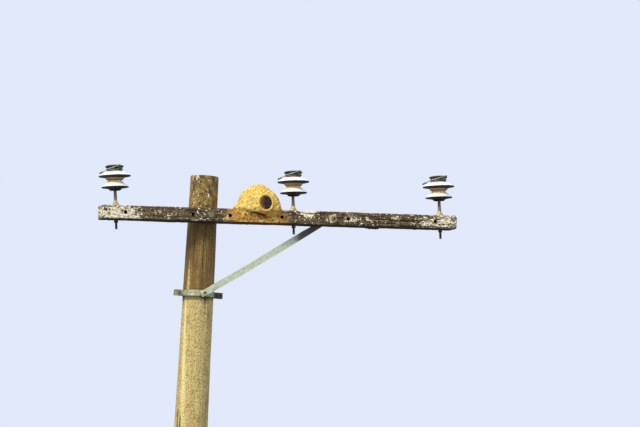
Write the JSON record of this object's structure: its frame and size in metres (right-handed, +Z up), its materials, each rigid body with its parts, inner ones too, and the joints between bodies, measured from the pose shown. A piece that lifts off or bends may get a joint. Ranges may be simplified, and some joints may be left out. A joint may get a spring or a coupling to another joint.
{
  "type": "wooden utility pole",
  "caption": "Leaning round wooden pole with an offset timber crossarm, pin insulators, an angle brace on a pole clamp and a domed mud nest.",
  "frame": {"origin": "centre of the pole's flat face at ground level", "axes": "+Z up, +X along the crossarm toward its long side, -Y the side of the pole that carries the crossarm"},
  "size_m": [2.4076, 0.5994, 9.3492],
  "materials": {
    "pole_wood": "rough weathered",
    "crossarm_wood": "rough, lichen grown",
    "nest_mud": "dry mud",
    "galvanised_steel": "dull zinc",
    "porcelain": "glazed",
    "tie_wire_aluminium": "dull"
  },
  "bodies": {
    "root": {"pole": "pole_wood", "crossarm": "crossarm_wood", "nest": "nest_mud", "brace": "galvanised_steel", "clamp_front": "galvanised_steel", "clamp_rear": "galvanised_steel", "clamp_bolt_left": "galvanised_steel", "clamp_bolt_right": "galvanised_steel", "clamp_nut_left": "galvanised_steel", "clamp_nut_right": "galvanised_steel", "brace_clamp_bolt": "galvanised_steel", "brace_clamp_nut": "galvanised_steel", "brace_bolt": "galvanised_steel", "brace_bolt_washer": "galvanised_steel", "brace_bolt_nut": "galvanised_steel", "main_bolt": "galvanised_steel", "main_bolt_front_washer": "galvanised_steel", "main_bolt_rear_washer": "galvanised_steel", "main_bolt_nut": "galvanised_steel", "pin_left": "galvanised_steel", "pin_washer_left": "galvanised_steel", "pin_nut_left": "galvanised_steel", "insulator_lower_left": "porcelain", "insulator_upper_left": "porcelain", "tie_wire_left": "tie_wire_aluminium", "pin_middle": "galvanised_steel", "pin_washer_middle": "galvanised_steel", "pin_nut_middle": "galvanised_steel", "insulator_lower_middle": "porcelain", "insulator_upper_middle": "porcelain", "tie_wire_middle": "tie_wire_aluminium", "pin_right": "galvanised_steel", "pin_washer_right": "galvanised_steel", "pin_nut_right": "galvanised_steel", "insulator_lower_right": "porcelain", "insulator_upper_right": "porcelain", "tie_wire_right": "tie_wire_aluminium"}
  },
  "joints": []
}
